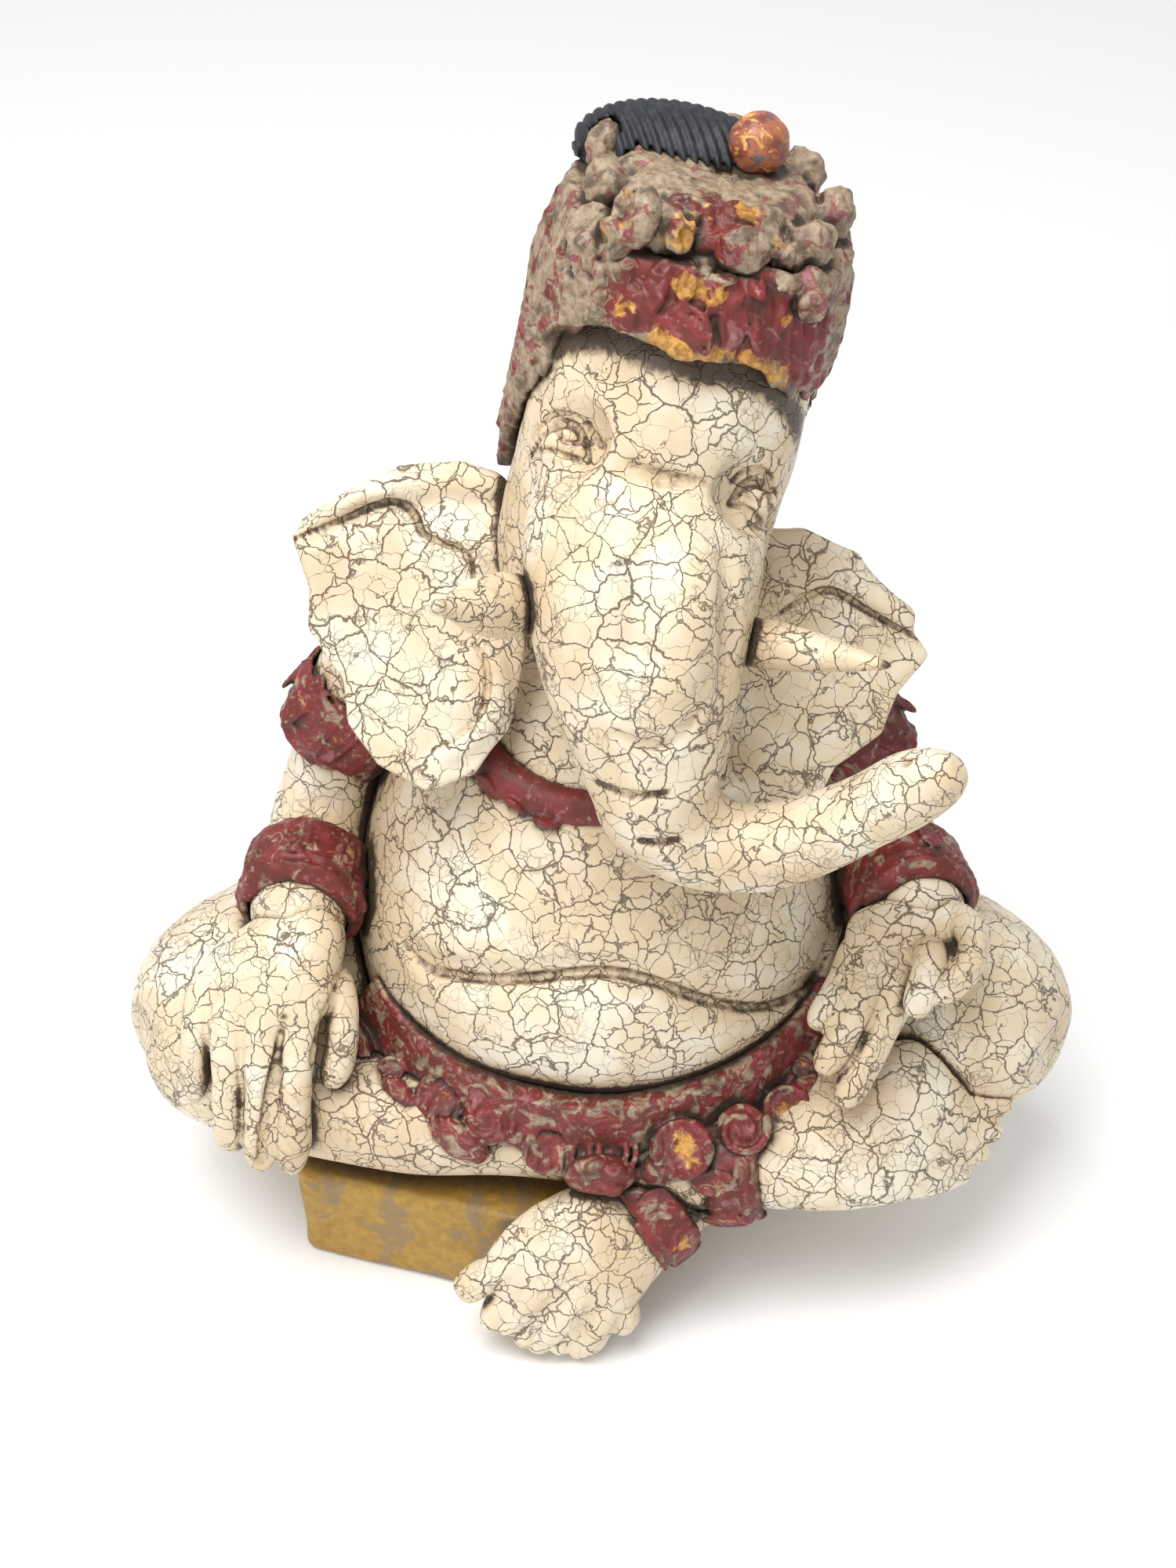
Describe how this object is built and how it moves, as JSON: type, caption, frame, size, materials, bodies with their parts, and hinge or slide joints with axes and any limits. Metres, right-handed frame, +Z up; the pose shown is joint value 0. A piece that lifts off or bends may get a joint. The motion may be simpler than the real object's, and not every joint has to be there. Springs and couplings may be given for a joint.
{
  "type": "ganesha idol",
  "caption": "Seated elephant-headed idol of carved, pegged wood on a low block: cross-legged, round belly, curled trunk, tall crown, ivory crackle paint with worn red and gold ornament.",
  "frame": {"origin": "on the ground, under the middle of the figure, in the seat block's bottom face", "axes": "+Z up, +X towards the figure's left, +Y towards its back"},
  "size_m": [0.3446, 0.2116, 0.4133],
  "materials": {
    "crackle_white": "ivory crackle paint over dark primer, soft satin",
    "red_gold_ornament": "worn red paint and gold leaf over carved wood",
    "gold_seat": "worn ochre gold paint over wood",
    "dark_hair": "matt charcoal paint over carved wood",
    "copper_ball": "worn copper and red paint over turned wood",
    "bare_wood": "bare turned wood"
  },
  "bodies": {
    "root": {"torso": "crackle_white", "head": "crackle_white", "trunk": "crackle_white", "right_thigh": "crackle_white", "left_thigh": "crackle_white", "right_shin": "crackle_white", "left_shin": "crackle_white", "right_foot": "crackle_white", "left_foot": "crackle_white", "right_arm": "crackle_white", "left_arm": "crackle_white", "right_hand": "crackle_white", "left_hand": "crackle_white", "right_ear": "crackle_white", "left_ear": "crackle_white", "right_tusk": "crackle_white", "left_tusk": "crackle_white", "crown": "red_gold_ornament", "crown_upper_tier": "red_gold_ornament", "belt": "red_gold_ornament", "necklace": "red_gold_ornament", "right_armlet": "red_gold_ornament", "left_armlet": "red_gold_ornament", "right_bracelet": "red_gold_ornament", "left_bracelet": "red_gold_ornament", "right_anklet": "red_gold_ornament", "left_anklet": "red_gold_ornament", "seat_block": "gold_seat", "topknot": "dark_hair", "finial_ball": "copper_ball", "seat_dowels": "bare_wood", "neck_dowel": "bare_wood", "hip_dowels": "bare_wood", "knee_dowels": "bare_wood", "shoulder_dowels": "bare_wood", "wrist_dowels": "bare_wood", "ankle_dowels": "bare_wood", "trunk_dowel": "bare_wood", "ear_dowels": "bare_wood", "crown_dowel": "bare_wood", "finial_dowel": "bare_wood"}
  },
  "joints": []
}
